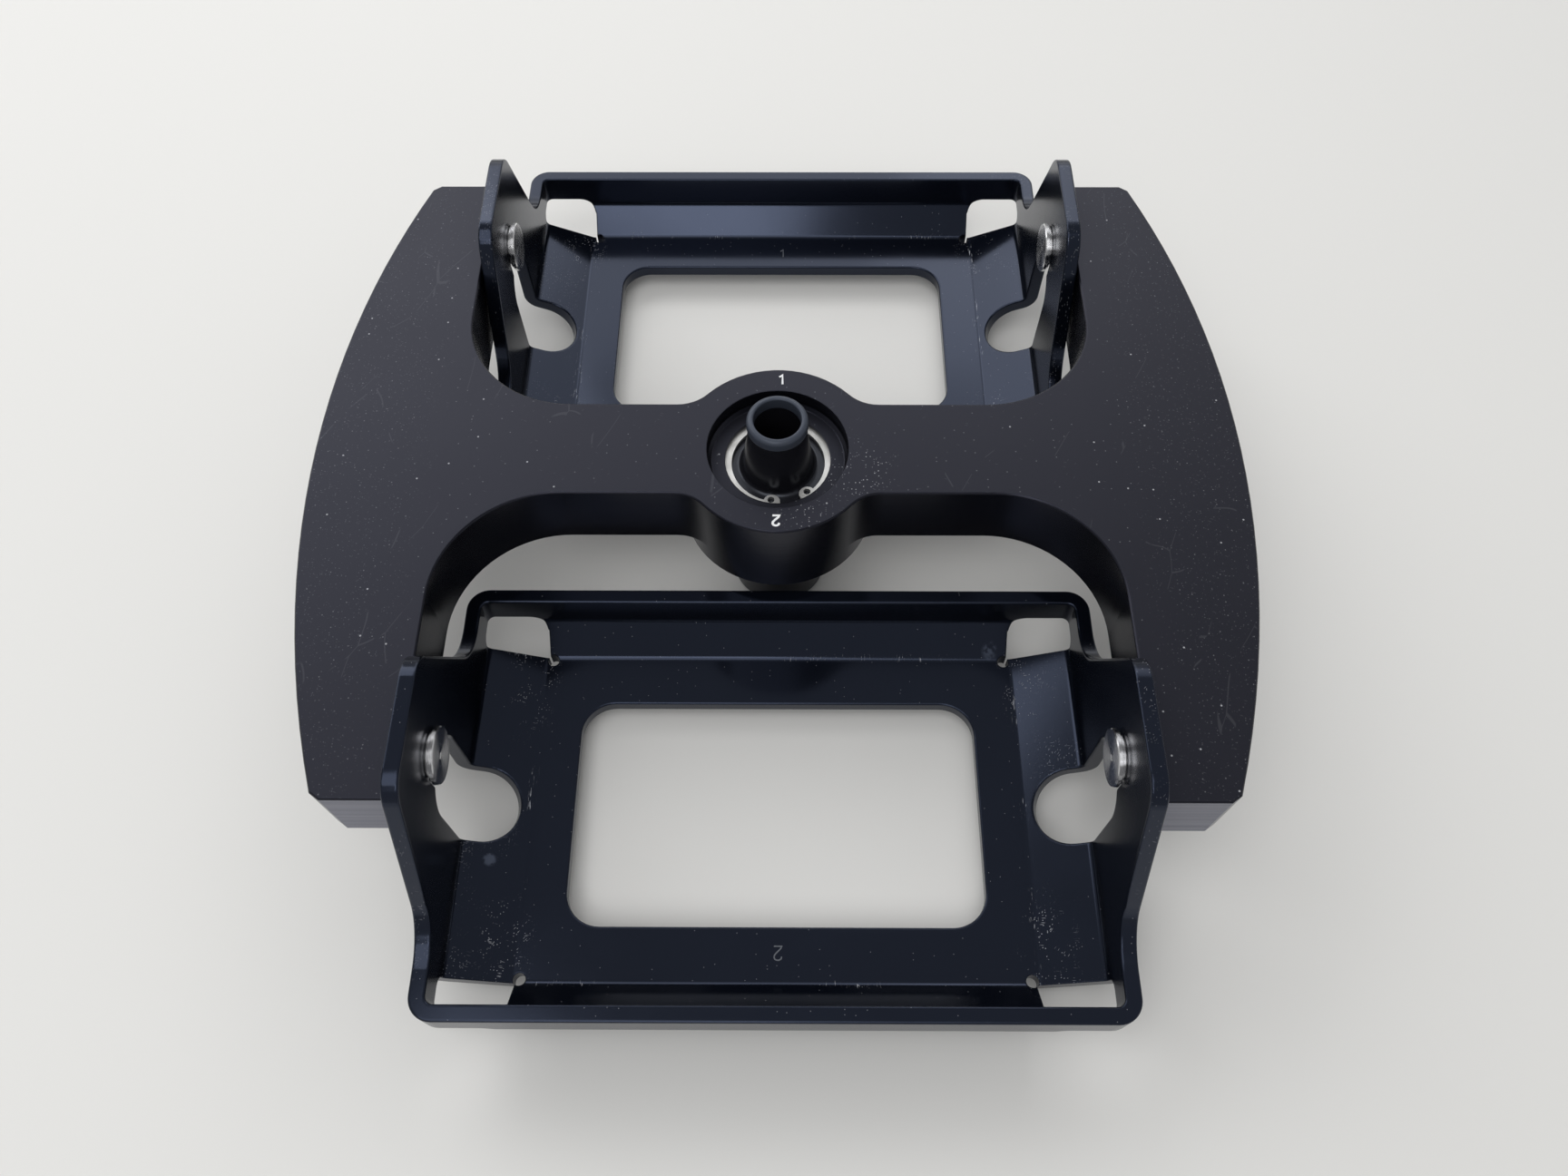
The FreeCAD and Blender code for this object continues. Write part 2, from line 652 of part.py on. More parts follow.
def ear_outline_cut(body):
    """what is cut off one end: above the ear's outline and below the strip beside the shoulder"""
    sketch = new_sketch(body, "YZ_Plane", f"{body.Name}_ear_outline", "panel_half_x")
    add_outline(sketch, [("-beyond_y", "above_ear"), ("-beyond_y", "-rim_drop"),
                         ("-ear_foot_half", "-rim_drop", "ear_foot_round"),
                         ("-ear_top_half", "ear_top", "ear_top_round"),
                         ("ear_top_half", "ear_top", "ear_top_round"),
                         ("ear_foot_half", "-rim_drop", "ear_foot_round"),
                         ("beyond_y", "-rim_drop"), ("beyond_y", "above_ear")])
    for sign in ("", "-"):
        add_outline(sketch, [(f"{sign}shoulder_half_y", "-below_floor"),
                             (f"{sign}shoulder_half_y", "-strip_drop", "opening_round"),
                             (f"{sign}strip_half_y", "-strip_drop"), (f"{sign}strip_half_y", "-below_floor")])
    return sketch


def keyhole_cuts(body):
    """keyhole of one end: wide part on the ear, its round end on the shoulder and the slot up to the pin"""
    entry = new_sketch(body, "YZ_Plane", f"{body.Name}_entry_plan", "panel_half_x")
    add_round_slot(entry, "entry_radius", "-shoulder_drop", "-entry_drop")
    slot = new_sketch(body, "YZ_Plane", f"{body.Name}_slot_plan", "panel_half_x")
    add_round_slot(slot, "slot_half", "-entry_drop", "0")
    round_end = new_sketch(body, "YZ_Plane", f"{body.Name}_round_end_plan")
    round_end.AttachmentOffset = FreeCAD.Placement(vector(0, 0, 0), FreeCAD.Rotation(vector(1, 0, 0), -90))
    round_end.setExpression("AttachmentOffset.Base.y", "-dims.shoulder_drop")
    round_end.setExpression("AttachmentOffset.Base.z", "dims.ear_inner_x")
    round_end.setExpression("AttachmentOffset.Rotation.Angle", "-(90 + dims.shoulder_angle) * 1 deg")
    add_round_slot(round_end, "entry_radius", "-entry_overlap", "entry_reach")
    return [cut(body, f"{body.Name}_entry", entry, reverse=True),
            cut(body, f"{body.Name}_slot", slot, reverse=True),
            cut(body, f"{body.Name}_round_end", round_end, "4 * dims.sheet", midplane=True)]


def floor_cuts(body):
    """window in the floor and a round relief hole at each corner where four folds meet"""
    sketch = new_sketch(body, "XY_Plane", f"{body.Name}_window_plan")
    add_rectangle(sketch, "window_half_x", "window_half_y", "window_round")
    for across in ("", "-"):
        for along in ("", "-"):
            add_circle(sketch, f"{across}relief_x", f"{along}relief_y", "relief_radius")
    return cut(body, f"{body.Name}_window", sketch, midplane=True)


def deburred(shape):
    """picks a carrier's rim, ear, window and keyhole edges"""
    rim, floor, under = -number("rim_drop"), -number("floor_drop"), -number("floor_under")
    window_x, window_y = number("window_half_x"), number("window_half_y")
    fold_x, entry = number("floor_outer_x"), number("entry_radius")

    def wanted(edge):
        box = edge.BoundBox
        half_x, half_y = max(abs(box.XMin), abs(box.XMax)), max(abs(box.YMin), abs(box.YMax))
        near_x = min(abs(box.XMin), abs(box.XMax))
        on_rim = box.ZMin > rim - 0.01
        on_window = (lies_at(edge, floor) or lies_at(edge, under)) and half_x < window_x + 0.01
        on_window = on_window and half_y < window_y + 0.01
        on_keyhole = half_y < entry + 0.01 and near_x > fold_x
        return (on_rim or on_window or on_keyhole) and is_sharp(shape, edge)

    return wanted


def make_carrier(name, end):
    """one folded sheet that hangs on two pins; its own origin is the middle of its swing axis"""
    body = new_body(name)
    pad(body, f"{name}_sides", side_fold_profile(body), "2 * dims.strip_half_x", midplane=True)
    cut(body, f"{name}_side_openings", side_end_cut(body), midplane=True)
    pad(body, f"{name}_strip", rim_strip_plan(body), "dims.strip_tall")
    end_fold = pad(body, f"{name}_end", end_fold_profile(body), "2 * dims.strip_half_y", midplane=True)
    ear = cut(body, f"{name}_ear", ear_outline_cut(body), reverse=True)
    keyhole = keyhole_cuts(body)
    mirror(body, f"{name}_other_end", [end_fold, ear] + keyhole, "YZ_Plane")
    window = floor_cuts(body)
    doc.recompute()
    dress(body, "Fillet", f"{name}_deburred", window, deburred(window.Shape), "Radius", "dims.sheet_round")
    place(body, y=f"{end} * dims.pin_half_y", z="dims.pin_height")
    return body


def make_all():
    parts = [make_yoke(), make_drive_hub(), make_clamping_sleeve(), make_retaining_ring()]
    for number_on_rotor, end in ((1, 1), (2, -1)):
        for side_name, side in (("left", -1), ("right", 1)):
            parts.append(make_pin(f"trunnion_pin_{number_on_rotor}_{side_name}", side, end))
        parts.append(make_carrier(f"plate_carrier_{number_on_rotor}", end))
    doc.recompute()
    return parts


def check(parts):
    """stop on any failed object and on any part that isn't one valid solid"""
    for item in doc.Objects:
        if "Invalid" in item.State or "Error" in item.State:
            raise RuntimeError(f"{item.Name}: {item.State}")
    for part in parts:
        shape = part.Shape
        if shape.isNull() or not shape.isValid() or len(shape.Solids) != 1:
            raise RuntimeError(f"{part.Label} isn't one valid solid")


def export(parts):
    os.makedirs(PARTS_FOLDER, exist_ok=True)
    for part in parts:
        part.Shape.exportStep(os.path.join(PARTS_FOLDER, f"{part.Label}.step"))
        box = part.Shape.BoundBox
        print(f"{part.Label}: volume {part.Shape.Volume:.0f}, "
              f"X {box.XMin:.2f} to {box.XMax:.2f}, Y {box.YMin:.2f} to {box.YMax:.2f}, "
              f"Z {box.ZMin:.2f} to {box.ZMax:.2f}")


fill_sheet()
rotor = make_all()
check(rotor)
export(rotor)
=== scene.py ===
import bpy
import bmesh
import math
from mathutils import Matrix, Vector


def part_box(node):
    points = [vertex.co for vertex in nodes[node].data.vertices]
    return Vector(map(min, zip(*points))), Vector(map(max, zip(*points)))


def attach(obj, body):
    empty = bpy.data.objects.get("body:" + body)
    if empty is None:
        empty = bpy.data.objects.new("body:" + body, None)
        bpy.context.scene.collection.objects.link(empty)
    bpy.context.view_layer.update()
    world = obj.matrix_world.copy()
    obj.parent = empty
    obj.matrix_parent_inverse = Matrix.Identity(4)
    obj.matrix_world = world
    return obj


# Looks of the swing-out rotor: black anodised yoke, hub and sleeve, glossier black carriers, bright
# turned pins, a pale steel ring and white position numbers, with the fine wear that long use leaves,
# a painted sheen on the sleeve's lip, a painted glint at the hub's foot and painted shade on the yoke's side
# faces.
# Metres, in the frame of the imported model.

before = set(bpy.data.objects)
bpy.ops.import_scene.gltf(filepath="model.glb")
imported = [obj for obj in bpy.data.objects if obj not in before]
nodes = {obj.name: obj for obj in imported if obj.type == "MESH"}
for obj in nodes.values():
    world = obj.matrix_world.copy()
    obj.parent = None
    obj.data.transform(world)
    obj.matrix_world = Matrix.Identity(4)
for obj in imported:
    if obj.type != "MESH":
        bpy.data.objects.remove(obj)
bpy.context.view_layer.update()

MM = 0.001

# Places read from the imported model
yoke_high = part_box("rotor_yoke")[1]
YOKE_TOP = yoke_high.z
YOKE_HALF_Y = yoke_high.y
SLEEVE_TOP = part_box("clamping_sleeve")[1].z
CARRIER_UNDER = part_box("plate_carrier_1")[0].z
pin_low, pin_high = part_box("trunnion_pin_1_left")
SWING_Y = (pin_low.y + pin_high.y) / 2
SWING_Z = (pin_low.z + pin_high.z) / 2

# Sizes of the model that its boxes don't give
FLOOR_TOP = CARRIER_UNDER + 4 * MM
FLOOR_FOLD_X = 65.5 * MM
FLOOR_FOLD_Y = 44.5 * MM
RECESS_RADIUS = 18.6 * MM
LIP_UNDER = SLEEVE_TOP - 3.4 * MM

# Worn places in plan: x, y, full within, gone beyond
BESIDE_RECESS = (20 * MM, -7 * MM, 2 * MM, 13 * MM)
BEFORE_RECESS = (8 * MM, -21 * MM, 2 * MM, 10 * MM)
STAIN_LEFT = (-73.8 * MM, -96 * MM, 0.9 * MM, 2.0 * MM)
STAIN_RIGHT = (59.7 * MM, -35.3 * MM, 0.8 * MM, 2.6 * MM)

# Position numbers
MARK_THICK = 0.02 * MM
MITRE_LIMIT = 1.6
BOSS_PLACE_1 = (1.0 * MM, 22.4 * MM, YOKE_TOP)
BOSS_PLACE_2 = (-0.3 * MM, -22.5 * MM, YOKE_TOP)
CARRIER_MARK_X = 0.5 * MM
CARRIER_MARK_Y = SWING_Y + 37 * MM

# Camera of the photograph
CAMERA_PLACE = Vector((3.25, -180.8, 312.2)) * MM
CAMERA_TILT = 28.84
CAMERA_YAW = 0.58
CAMERA_ROLL = -0.36
CAMERA_LENS = 27.08
SENSOR_WIDTH = 36

# Stage
LAMP_DISTANCE = 1.6
WORLD_STRENGTH = 0.42
TABLE_HALF = 3.0

# Colours, linear. The three blacks are flat stand-ins under each material's own pattern.
YOKE_BLACK = (0.006, 0.006, 0.008)
CARRIER_BLACK = (0.003, 0.004, 0.006)
HUB_BLACK = (0.005, 0.005, 0.006)
RUBBED = (0.50, 0.51, 0.54)
STAIN = (0.055, 0.065, 0.09)
# pale grey at the hub's foot: rubbed wear together with a painted glint
HUB_FOOT_WEAR_AND_GLINT = (0.20, 0.23, 0.25)
# painted sheen: a brighter bluish black on the sleeve's lip, standing in for its highlight
LIP_PAINTED_SHEEN = (0.040, 0.048, 0.066)
PRINT_WHITE = (0.86, 0.87, 0.88)
PRINT_CHIPPED = (0.25, 0.25, 0.27)
PRINT_WORN = (0.10, 0.11, 0.13)
TABLE = (0.825, 0.82, 0.80)


class Shader:
    """node tree of one material, with short calls for what the materials share"""

    def __init__(self, name, base, roughness, metallic=0.0):
        self.material = bpy.data.materials.new(name)
        self.material.use_nodes = True
        self.tree = self.material.node_tree
        self.bsdf = self.tree.nodes["Principled BSDF"]
        self.bsdf.inputs["Base Color"].default_value = (*base, 1)
        self.bsdf.inputs["Roughness"].default_value = roughness
        self.bsdf.inputs["Metallic"].default_value = metallic
        place = self.tree.nodes.new("ShaderNodeTexCoord")
        self.place = place.outputs["Object"]
        self.facing = place.outputs["Normal"]
        self.relief = None

    def node(self, kind, values=(), **settings):
        """new node; values go to its inputs by name or number and may be sockets"""
        made = self.tree.nodes.new(kind)
        for key, value in settings.items():
            setattr(made, key, value)
        for key, value in dict(values).items():
            if isinstance(value, bpy.types.NodeSocket):
                self.tree.links.new(value, made.inputs[key])
            else:
                made.inputs[key].default_value = value
        return made

    def math(self, operation, first, second=0.0, third=0.0):
        """one sum on numbers or sockets"""
        made = self.node("ShaderNodeMath", {0: first, 1: second, 2: third}, operation=operation)
        return made.outputs[0]

    def product(self, *values):
        """all the values multiplied"""
        result = values[0]
        for value in values[1:]:
            result = self.math("MULTIPLY", result, value)
        return result

    def highest(self, *values):
        """the largest of the values"""
        result = values[0]
        for value in values[1:]:
            result = self.math("MAXIMUM", result, value)
        return result

    def away(self, value, middle):
        """how far the value is from the middle"""
        return self.math("ABSOLUTE", self.math("SUBTRACT", value, middle))

    def reach(self, first, second):
        """distance made up of two distances at right angles"""
        squares = self.math("ADD", self.product(first, first), self.product(second, second))
        return self.math("SQRT", squares)

    def clamped(self, value, low, high):
        """0 where the value is at low, 1 at high, smooth between; low may be above high"""
        if low > high:
            return self.math("SUBTRACT", 1.0, self.clamped(value, high, low))
        values = {"Value": value, "From Min": low, "From Max": high}
        return self.node("ShaderNodeMapRange", values, interpolation_type="SMOOTHSTEP").outputs[0]

    def axis(self, name, vector=None):
        """one coordinate of the vector, or of the place on the object"""
        parts = self.node("ShaderNodeSeparateXYZ", {0: vector or self.place})
        return parts.outputs[name]

    def stretched(self, x, y, z, turn=0):
        """the object's own coordinates, scaled by x, y and z per metre after a turn about Z in degrees"""
        rotation = (0, 0, math.radians(turn))
        turned = self.node("ShaderNodeMapping", {"Vector": self.place, "Rotation": rotation}).outputs[0]
        return self.node("ShaderNodeMapping", {"Vector": turned, "Scale": (x, y, z)}).outputs[0]

    def noise(self, scale, detail=3.0, vector=None, distortion=0.0):
        """cloudy pattern from 0 to 1, scale per metre where no vector is given"""
        values = {"Vector": vector or self.place, "Scale": scale, "Detail": detail, "Distortion": distortion}
        return self.node("ShaderNodeTexNoise", values).outputs["Fac"]

    def mixed(self, amount, first, second):
        """colour between the first and the second"""
        first = first if isinstance(first, bpy.types.NodeSocket) else (*first, 1)
        second = second if isinstance(second, bpy.types.NodeSocket) else (*second, 1)
        made = self.node("ShaderNodeMix", {0: amount, 6: first, 7: second}, data_type="RGBA")
        return made.outputs[2]

    def spots(self, place, scale, share, edge, core):
        """a share of the cells of a flat pattern holds one spot, which fades from its core to its edge"""
        cells = self.node("ShaderNodeTexVoronoi", {"Vector": place, "Scale": scale}, voronoi_dimensions="2D")
        picked = self.math("LESS_THAN", self.axis("X", cells.outputs["Color"]), share)
        return self.product(picked, self.clamped(cells.outputs["Distance"], edge, core))

    def specks(self, cell, size, share, seed):
        """small round dots for level faces: a share of cells, each cell metres wide, holds one dot"""
        moved = self.node("ShaderNodeVectorMath", {0: self.place, 1: (seed, seed, seed)}, operation="ADD")
        return self.spots(moved.outputs[0], 1 / cell, share, size / cell, 0.5 * size / cell)

    def strokes(self, length, width, spacing, share, turn):
        """short scratches for level faces: a share of cells, each spacing times a stroke's size, holds one"""
        place = self.stretched(1 / (spacing * length), 1 / (spacing * width), 1, turn)
        return self.spots(place, 1.0, share, 0.5 / spacing, 0.2 / spacing)

    def hairlines(self, scale, width, share, narrow, turn, wander):
        """thin broken scratches along the edges of wandering cells, drawn out in Y where narrow is under 1"""
        place = self.stretched(scale, narrow * scale, scale, turn)
        drift = self.node("ShaderNodeTexNoise", {"Vector": place, "Scale": 0.7, "Detail": 1.0})
        push = self.node("ShaderNodeVectorMath", {0: drift.outputs["Color"], 3: wander}, operation="SCALE")
        bent = self.node("ShaderNodeVectorMath", {0: place, 1: push.outputs[0]}, operation="ADD").outputs[0]
        cells = self.node("ShaderNodeTexVoronoi", {"Vector": bent, "Scale": 1.0}, feature="DISTANCE_TO_EDGE")
        line = self.clamped(cells.outputs["Distance"], width, 0.4 * width)
        broken = self.clamped(self.noise(1.3, 2.0, bent), 1 - share, 1.02 - share)
        return self.product(line, broken)

    def near(self, x, y, inner, outer):
        """1 within inner of the point (x, y) in plan, 0 beyond outer"""
        flat = self.node("ShaderNodeVectorMath", {0: self.place, 1: (1, 1, 0)}, operation="MULTIPLY")
        values = {0: flat.outputs[0], 1: (x, y, 0)}
        distance = self.node("ShaderNodeVectorMath", values, operation="DISTANCE").outputs["Value"]
        return self.clamped(distance, outer, inner)

    def colour(self, socket):
        """base colour from the socket"""
        self.tree.links.new(socket, self.bsdf.inputs["Base Color"])

    def roughness(self, socket):
        """roughness from the socket"""
        self.tree.links.new(socket, self.bsdf.inputs["Roughness"])

    def metallic(self, socket):
        """metallic share from the socket"""
        self.tree.links.new(socket, self.bsdf.inputs["Metallic"])

    def raised(self, height, distance, strength=1.0):
        """adds relief on top of what is there; height is 0 to 1 and distance is in metres"""
        values = {"Height": height, "Distance": distance, "Strength": strength}
        if self.relief:
            values["Normal"] = self.relief
        self.relief = self.node("ShaderNodeBump", values).outputs[0]
        self.tree.links.new(self.relief, self.bsdf.inputs["Normal"])

    def rounded(self, radius):
        """soft edges, before any relief"""
        self.relief = self.node("ShaderNodeBevel", {"Radius": radius}, samples=6).outputs[0]
        self.tree.links.new(self.relief, self.bsdf.inputs["Normal"])


def yoke_material():
    """satin black anodising with milled end faces, side faces painted darker as shade, dust specks, short
    ticks and hairline scratches
    """
    shader = Shader("satin_black_anodised", YOKE_BLACK, 0.42)
    shader.bsdf.inputs["Specular IOR Level"].default_value = 0.44
    shader.bsdf.inputs["Specular Tint"].default_value = (0.72, 0.75, 1.0, 1)
    shader.rounded(0.45 * MM)
    up = shader.clamped(shader.axis("Z", shader.facing), 0.8, 0.95)
    across = shader.math("ABSOLUTE", shader.axis("X"))
    along = shader.math("ABSOLUTE", shader.axis("Y"))
    endwards = shader.clamped(shader.math("ABSOLUTE", shader.axis("Y", shader.facing)), 0.9, 0.99)
    at_end = shader.clamped(along, YOKE_HALF_Y - 1 * MM, YOKE_HALF_Y - 0.5 * MM)
    end_face = shader.product(endwards, at_end)
    side = shader.math("SUBTRACT", 1.0, shader.highest(up, end_face))

    grain = shader.noise(5200, 2.0)
    cloud = shader.noise(28, 4.0, distortion=0.4)
    base = shader.mixed(cloud, (0.003, 0.003, 0.004), (0.0055, 0.0055, 0.0075))
    # painted shade: the side faces get a darker black than the level faces
    base = shader.mixed(side, base, (0.002, 0.002, 0.003))
    passes = shader.noise(1.0, 2.0, shader.stretched(6, 6, 1300))
    milled = shader.mixed(passes, (0.13, 0.13, 0.135), (0.34, 0.34, 0.345))
    base = shader.mixed(end_face, base, milled)
    shader.metallic(shader.product(end_face, 0.6))

    wing_side = shader.clamped(across, 86 * MM, 100 * MM)
    busy = shader.highest(shader.near(*BESIDE_RECESS), shader.product(shader.near(*BEFORE_RECESS), 0.7),
                          shader.product(wing_side, 0.12))
    fine = shader.specks(2.6 * MM, 0.20 * MM, 0.13, 0.31)
    large = shader.specks(7 * MM, 0.30 * MM, 0.12, 0.17)
    dense = shader.highest(shader.specks(1.0 * MM, 0.17 * MM, 0.16, 0.73),
                           shader.product(shader.specks(0.55 * MM, 0.12 * MM, 0.09, 0.47), 0.6))
    ticks = shader.highest(shader.strokes(1.1 * MM, 0.16 * MM, 5, 0.07, 20),
                           shader.strokes(0.8 * MM, 0.16 * MM, 5, 0.06, -55))
    ticks = shader.product(ticks, shader.math("MULTIPLY_ADD", busy, 0.25, 0.1))
    hair = shader.hairlines(95, 0.010, 0.42, narrow=0.35, turn=24, wander=0.5)
    marks = shader.highest(shader.product(fine, 0.22), shader.product(dense, busy),
                           shader.product(large, 0.7), shader.product(ticks, 0.7), shader.product(hair, 0.04))
    shader.colour(shader.mixed(shader.product(marks, up), base, RUBBED))

    well = shader.near(0, 0, RECESS_RADIUS - 0.2 * MM, RECESS_RADIUS + 0.2 * MM)
    rough = shader.math("MULTIPLY_ADD", cloud, 0.10, 0.34)
    rough = shader.math("MULTIPLY_ADD", grain, 0.06, rough)
    rough = shader.math("MULTIPLY_ADD", side, -0.18, rough)
    shader.roughness(shader.math("MULTIPLY_ADD", shader.product(well, up), 0.10, rough))
    shader.raised(grain, 0.004 * MM, 0.35)
    cutter_lines = shader.product(passes, shader.math("MULTIPLY_ADD", end_face, 0.92, 0.08))
    shader.raised(cutter_lines, 0.12 * MM)
    return shader.material


def fold_wear(shader, across, along):
    """streaks rubbed along the folds round a carrier's floor, in patches, low down"""
    fold = shader.clamped(shader.away(across, FLOOR_FOLD_X), 1.6 * MM, 0.2 * MM)
    side_fold = shader.clamped(shader.away(along, FLOOR_FOLD_Y), 1.2 * MM, 0.1 * MM)
    patches = shader.clamped(shader.noise(60, 3.0), 0.50, 0.62)
    streaks = shader.clamped(shader.noise(1.0, 3.0, shader.stretched(2600, 330, 900)), 0.60, 0.68)
    low = shader.clamped(shader.axis("Z"), FLOOR_TOP + 16 * MM, FLOOR_TOP + 4 * MM)
    return shader.product(shader.highest(fold, side_fold), patches, streaks, low)


def shoulder_scuffs(shader, across, along):
    """specks and short strokes on a carrier's shoulders, thickest at their corners"""
    shoulder = shader.clamped(across, 66 * MM, 74 * MM)
    shoulder = shader.product(shoulder, shader.clamped(shader.noise(42, 3.0), 0.46, 0.66))
    from_fold = shader.product(shader.math("SUBTRACT", across, 68 * MM), 1.5)
    from_end = shader.product(shader.math("SUBTRACT", along, 36 * MM), 0.75)
    corner = shader.clamped(shader.reach(from_fold, from_end), 13 * MM, 3 * MM)
    corner = shader.product(corner, shader.clamped(shader.noise(170, 3.0), 0.46, 0.60))
    scuffs = shader.highest(shader.specks(0.7 * MM, 0.15 * MM, 0.28, 0.41),
                            shader.strokes(1.3 * MM, 0.16 * MM, 3, 0.14, 8),
                            shader.strokes(1.0 * MM, 0.16 * MM, 3, 0.12, -50))
    return shader.product(scuffs, shader.highest(shader.product(shoulder, 0.45), corner))


def carrier_material():
    """glossier black anodising, rubbed white on folds and shoulders, with two dull stains on carrier 2"""
    shader = Shader("gloss_black_anodised", CARRIER_BLACK, 0.27)
    shader.bsdf.inputs["Specular IOR Level"].default_value = 0.5
    shader.bsdf.inputs["Specular Tint"].default_value = (0.56, 0.67, 1.0, 1)
    shader.rounded(0.5 * MM)
    across = shader.math("ABSOLUTE", shader.axis("X"))
    along = shader.away(shader.math("ABSOLUTE", shader.axis("Y")), SWING_Y)
    up = shader.clamped(shader.axis("Z", shader.facing), 0.2, 0.6)

    cloud = shader.noise(34, 4.0, distortion=0.6)
    base = shader.mixed(cloud, (0.0018, 0.0024, 0.0045), (0.0036, 0.0048, 0.0085))
    stains = shader.highest(shader.near(*STAIN_LEFT), shader.near(*STAIN_RIGHT))
    stains = shader.product(stains, shader.clamped(shader.noise(600, 3.0), 0.35, 0.60))
    base = shader.mixed(stains, base, STAIN)
    dust = shader.specks(2.6 * MM, 0.15 * MM, 0.16, 0.59)
    marks = shader.highest(shader.product(fold_wear(shader, across, along), 0.75),
                           shader.product(shoulder_scuffs(shader, across, along), 0.7),
                           shader.product(dust, 0.28))
    marks = shader.product(marks, up)
    shader.colour(shader.mixed(marks, base, RUBBED))

    rough = shader.math("MULTIPLY_ADD", cloud, 0.08, 0.09)
    rough = shader.math("MULTIPLY_ADD", shader.highest(marks, stains), 0.35, rough)
    rough = shader.math("MULTIPLY_ADD", shader.math("SUBTRACT", 1.0, up), 0.09, rough)
    shader.roughness(rough)
    shader.raised(shader.noise(1900, 2.0), 0.006 * MM, 0.30)
    return shader.material


def turned_black(name, gloss, sheen_and_wear_from, sheen_and_wear_at, worn):
    """black anodising on a turned piece, fine rings round the Z axis, painted paler at one end: a painted
    sheen on the sleeve's lip, rubbed wear with a painted glint at the hub's foot
    """
    shader = Shader(name, HUB_BLACK, gloss)
    shader.bsdf.inputs["Specular Tint"].default_value = (0.80, 0.86, 1.0, 1)
    shader.rounded(0.3 * MM)
    cloud = shader.noise(90, 3.0)
    base = shader.mixed(cloud, (0.005, 0.005, 0.007), (0.010, 0.010, 0.013))
    # paler band at one end is painted light: sheen on the sleeve's lip, and on the hub's foot rubbed wear
    # with a painted glint
    rubbed = shader.clamped(shader.axis("Z"), sheen_and_wear_from, sheen_and_wear_at)
    shader.colour(shader.mixed(rubbed, base, worn))
    rough = shader.math("MULTIPLY_ADD", cloud, 0.10, gloss - 0.04)
    shader.roughness(shader.math("MULTIPLY_ADD", rubbed, 0.14, rough))
    rings = shader.noise(1.0, 2.0, shader.stretched(60, 60, 5200))
    shader.raised(rings, 0.008 * MM, 0.30)
    return shader.material


def pin_material():
    """bright turned steel with fine rings round the pin's own axis"""
    shader = Shader("turned_steel", (0.78, 0.78, 0.79), 0.24, metallic=1.0)
    shader.bsdf.inputs["Anisotropic"].default_value = 0.85
    shader.bsdf.inputs["Anisotropic Rotation"].default_value = 0.25
    tangent = shader.node("ShaderNodeTangent", direction_type="RADIAL", axis="X")
    shader.tree.links.new(tangent.outputs[0], shader.bsdf.inputs["Tangent"])
    along = shader.away(shader.math("ABSOLUTE", shader.axis("Y")), SWING_Y)
    radius = shader.reach(along, shader.away(shader.axis("Z"), SWING_Z))
    values = {"W": shader.product(radius, 5200), "Scale": 1.0, "Detail": 2.0}
    rings = shader.node("ShaderNodeTexNoise", values, noise_dimensions="1D").outputs["Fac"]
    film = shader.noise(420, 3.0)
    shader.colour(shader.mixed(shader.product(film, rings), (0.74, 0.74, 0.75), (0.92, 0.92, 0.93)))
    shader.roughness(shader.math("MULTIPLY_ADD", rings, 0.08, 0.21))
    shader.raised(rings, 0.002 * MM, 0.3)
    return shader.material


def ring_material():
    """pale plated spring steel with stamped, slightly mottled faces"""
    shader = Shader("spring_steel", (0.70, 0.70, 0.69), 0.45, metallic=1.0)
    mottle = shader.noise(700, 4.0)
    film = shader.clamped(shader.noise(110, 3.0, distortion=1.0), 0.35, 0.7)
    base = shader.mixed(film, (0.54, 0.54, 0.53), (0.72, 0.72, 0.71))
    shader.colour(shader.mixed(shader.product(mottle, 0.3), base, (0.38, 0.37, 0.35)))
    shader.roughness(shader.math("MULTIPLY_ADD", mottle, 0.2, 0.38))
    shader.raised(mottle, 0.01 * MM, 0.4)
    return shader.material


def print_material(name, ink, worn):
    """marked figure: grainy ink with small worn spots"""
    shader = Shader(name, ink, 0.62)
    grain = shader.noise(4200, 3.0)
    missing = shader.clamped(shader.noise(2300, 2.0), 0.60, 0.72)
    shader.colour(shader.mixed(shader.product(missing, 0.55), ink, worn))
    shader.roughness(shader.math("MULTIPLY_ADD", grain, 0.2, 0.5))
    shader.raised(grain, 0.004 * MM, 0.3)
    return shader.material


def table_material():
    """plain pale top with a hardly visible change of tone"""
    shader = Shader("pale_table", TABLE, 0.6)
    shader.bsdf.inputs["Specular IOR Level"].default_value = 0.25
    tone = shader.noise(1.4, 2.0)
    shader.colour(shader.mixed(tone, TABLE, tuple(0.97 * part for part in TABLE)))
    return shader.material


def dress_cad():
    """gives each carried-over CAD piece its material"""
    yoke, carrier = yoke_material(), carrier_material()
    # the hub's foot gets a pale band: rubbed wear together with a painted glint
    hub = turned_black("hub_black", 0.30, 1.4 * MM, 0.6 * MM, HUB_FOOT_WEAR_AND_GLINT)
    # the sleeve's lip gets a painted sheen, a brighter bluish black
    sleeve = turned_black("sleeve_black", 0.24, LIP_UNDER - 0.3 * MM, LIP_UNDER + 0.3 * MM, LIP_PAINTED_SHEEN)
    pins, ring = pin_material(), ring_material()
    chosen = {"rotor_yoke": yoke, "drive_hub": hub, "clamping_sleeve": sleeve, "retaining_ring": ring}
    for name, piece in nodes.items():
        if name.startswith("trunnion_pin"):
            finish = pins
        elif name.startswith("plate_carrier"):
            finish = carrier
        else:
            finish = chosen[name]
        piece.data.materials.clear()
        piece.data.materials.append(finish)


